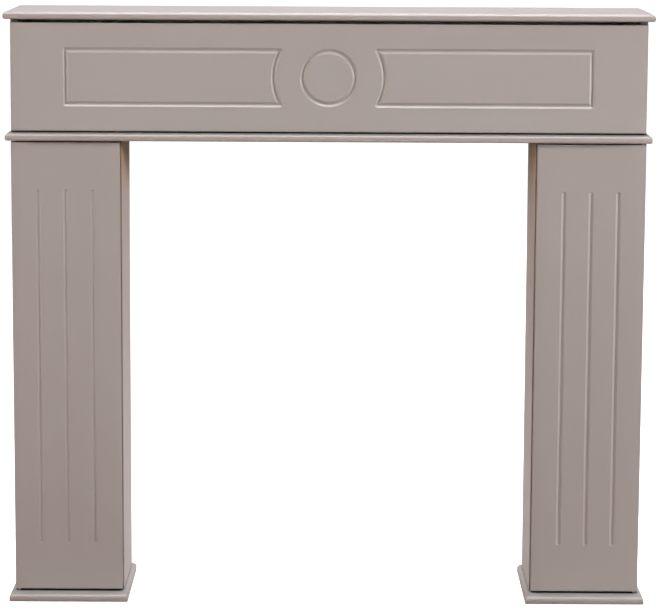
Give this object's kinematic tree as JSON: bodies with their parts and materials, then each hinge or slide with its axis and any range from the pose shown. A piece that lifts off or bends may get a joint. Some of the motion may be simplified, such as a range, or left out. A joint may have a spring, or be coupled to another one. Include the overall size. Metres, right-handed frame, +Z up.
{
  "type": "fireplace mantelpiece",
  "caption": "Freestanding fireplace mantelpiece of painted board: a frieze box with a top-hung flap front on hollow legs with fluted doors, under a moulded shelf.",
  "frame": {"origin": "on the floor, midway along the overall width and the overall depth", "axes": "+X to the right when seen from the front, +Y from the front towards the wall, +Z up"},
  "size_m": [1.03, 0.2176, 0.954],
  "materials": {
    "shelf_paint": "satin taupe-grey paint",
    "front_paint": "satin taupe-grey paint",
    "carcass_paint": "satin taupe-grey paint",
    "back_board": "plain painted board",
    "steel": "zinc plated"
  },
  "bodies": {
    "carcass": {"top_shelf": "shelf_paint", "string_shelf": "shelf_paint", "frieze_back": "back_board", "frieze_end_left": "carcass_paint", "frieze_end_right": "carcass_paint", "flap_pivot_plate_left": "steel", "flap_pivot_plate_right": "steel", "plate_screw_left_1": "steel", "plate_screw_left_2": "steel", "plate_screw_right_1": "steel", "plate_screw_right_2": "steel", "base_plate_left": "shelf_paint", "base_plate_right": "shelf_paint", "leg_outer_side_left": "carcass_paint", "leg_outer_side_right": "carcass_paint", "leg_inner_side_left": "carcass_paint", "leg_inner_side_right": "carcass_paint", "leg_back_left": "back_board", "leg_back_right": "back_board"},
    "flap": {"frieze_flap": "front_paint", "flap_pin_left": "steel", "flap_pin_right": "steel"},
    "door_left": {"leg_door_left": "front_paint", "door_pin_top_left": "steel", "door_pin_bottom_left": "steel"},
    "door_right": {"leg_door_right": "front_paint", "door_pin_top_right": "steel", "door_pin_bottom_right": "steel"}
  },
  "joints": [
    {"name": "flap_hinge", "type": "hinge", "parent": "carcass", "child": "flap", "pos_m": [0, -0.07655, 0.9316], "axis": [-1, 0, 0], "range_deg": [0, 90]},
    {"name": "door_hinge_left", "type": "hinge", "parent": "carcass", "child": "door_left", "pos_m": [-0.5013, -0.07655, 0.38], "axis": [0, 0, -1], "range_deg": [0, 100]},
    {"name": "door_hinge_right", "type": "hinge", "parent": "carcass", "child": "door_right", "pos_m": [0.5013, -0.07655, 0.38], "axis": [0, 0, 1], "range_deg": [0, 100]}
  ]
}
